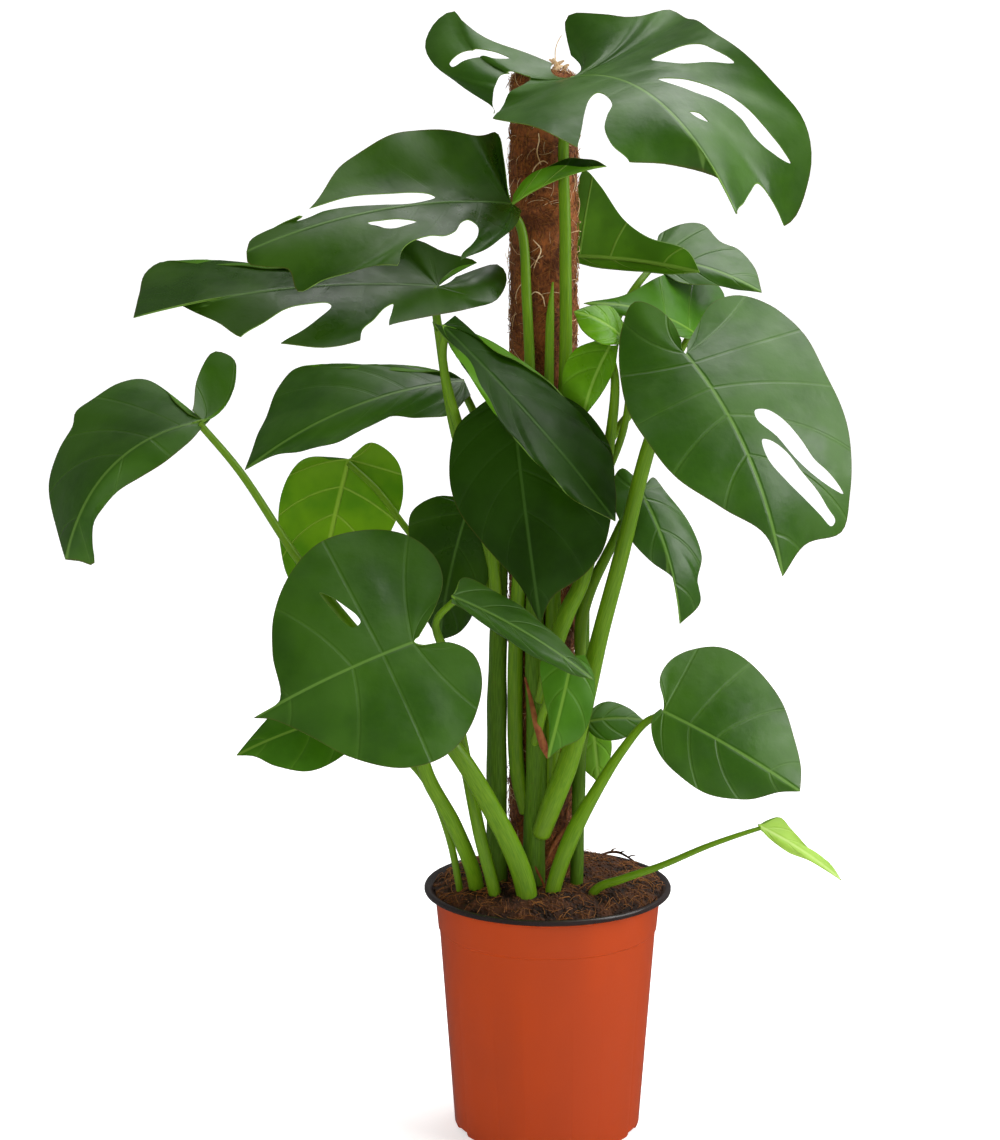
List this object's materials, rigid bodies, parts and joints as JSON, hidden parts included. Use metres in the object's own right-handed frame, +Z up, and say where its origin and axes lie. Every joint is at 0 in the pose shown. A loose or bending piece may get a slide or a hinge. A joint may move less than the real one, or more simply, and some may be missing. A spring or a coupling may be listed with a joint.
{
  "type": "potted monstera plant",
  "caption": "Climbing split-leaf houseplant on a coir pole in a round terracotta-coloured nursery pot with soil.",
  "frame": {"origin": "centre of the pot's flat base, on the surface that the pot stands on", "axes": "+Z up along the coir pole; -Y towards the front that the picture shows; +X to the right seen from the front"},
  "size_m": [0.6462, 0.3178, 0.9434],
  "materials": {
    "leaf": null,
    "young_leaf": "pale green rolled leaf tissue",
    "stalk": "smooth light green leaf stalk",
    "stem": "green climbing stem",
    "coir": "rough brown coconut fibre",
    "timber": "plain sawn stake",
    "pot": "satin moulded plastic, terracotta orange",
    "soil": "matte dark brown potting soil of peat and coir; wood stands in, at about the density of moist soil"
  },
  "bodies": {
    "root": {"stem_front": "stem", "stem_left": "stem", "stem_right": "stem", "stem_back": "stem", "stalk_top_right": "stalk", "stalk_upper_left": "stalk", "stalk_mid_left": "stalk", "stalk_far_left": "stalk", "stalk_left_drooping": "stalk", "stalk_centre_folded": "stalk", "stalk_centre_dark": "stalk", "stalk_right_split": "stalk", "stalk_front_round": "stalk", "stalk_back_left": "stalk", "stalk_low_left": "stalk", "stalk_behind_left": "stalk", "stalk_centre_edge": "stalk", "stalk_centre_low": "stalk", "stalk_small_right": "stalk", "stalk_small_back": "stalk", "stalk_low_right": "stalk", "stalk_young_rolled": "stalk", "stalk_right_small": "stalk", "stalk_back_right_high": "stalk", "stalk_back_right_low": "stalk", "stalk_right_pale": "stalk", "stalk_young_crumpled": "stalk", "stalk_young_small": "stalk", "new_leaf_spike": "young_leaf", "leaf_top_right": "leaf", "leaf_upper_left": "leaf", "leaf_mid_left": "leaf", "leaf_far_left": "leaf", "leaf_left_drooping": "leaf", "leaf_centre_folded": "leaf", "leaf_centre_dark": "leaf", "leaf_right_split": "leaf", "leaf_front_round": "leaf", "leaf_back_left": "leaf", "leaf_low_left": "leaf", "leaf_behind_left": "leaf", "leaf_centre_edge": "leaf", "leaf_centre_low": "leaf", "leaf_small_right": "leaf", "leaf_small_back": "leaf", "leaf_low_right": "leaf", "leaf_young_rolled": "leaf", "leaf_right_small": "leaf", "leaf_back_right_high": "leaf", "leaf_back_right_low": "leaf", "leaf_right_pale": "leaf", "leaf_young_crumpled": "leaf", "leaf_young_small": "leaf", "pot": "pot", "soil": "soil", "pole_coir": "coir", "pole_stake": "timber"}
  },
  "joints": []
}
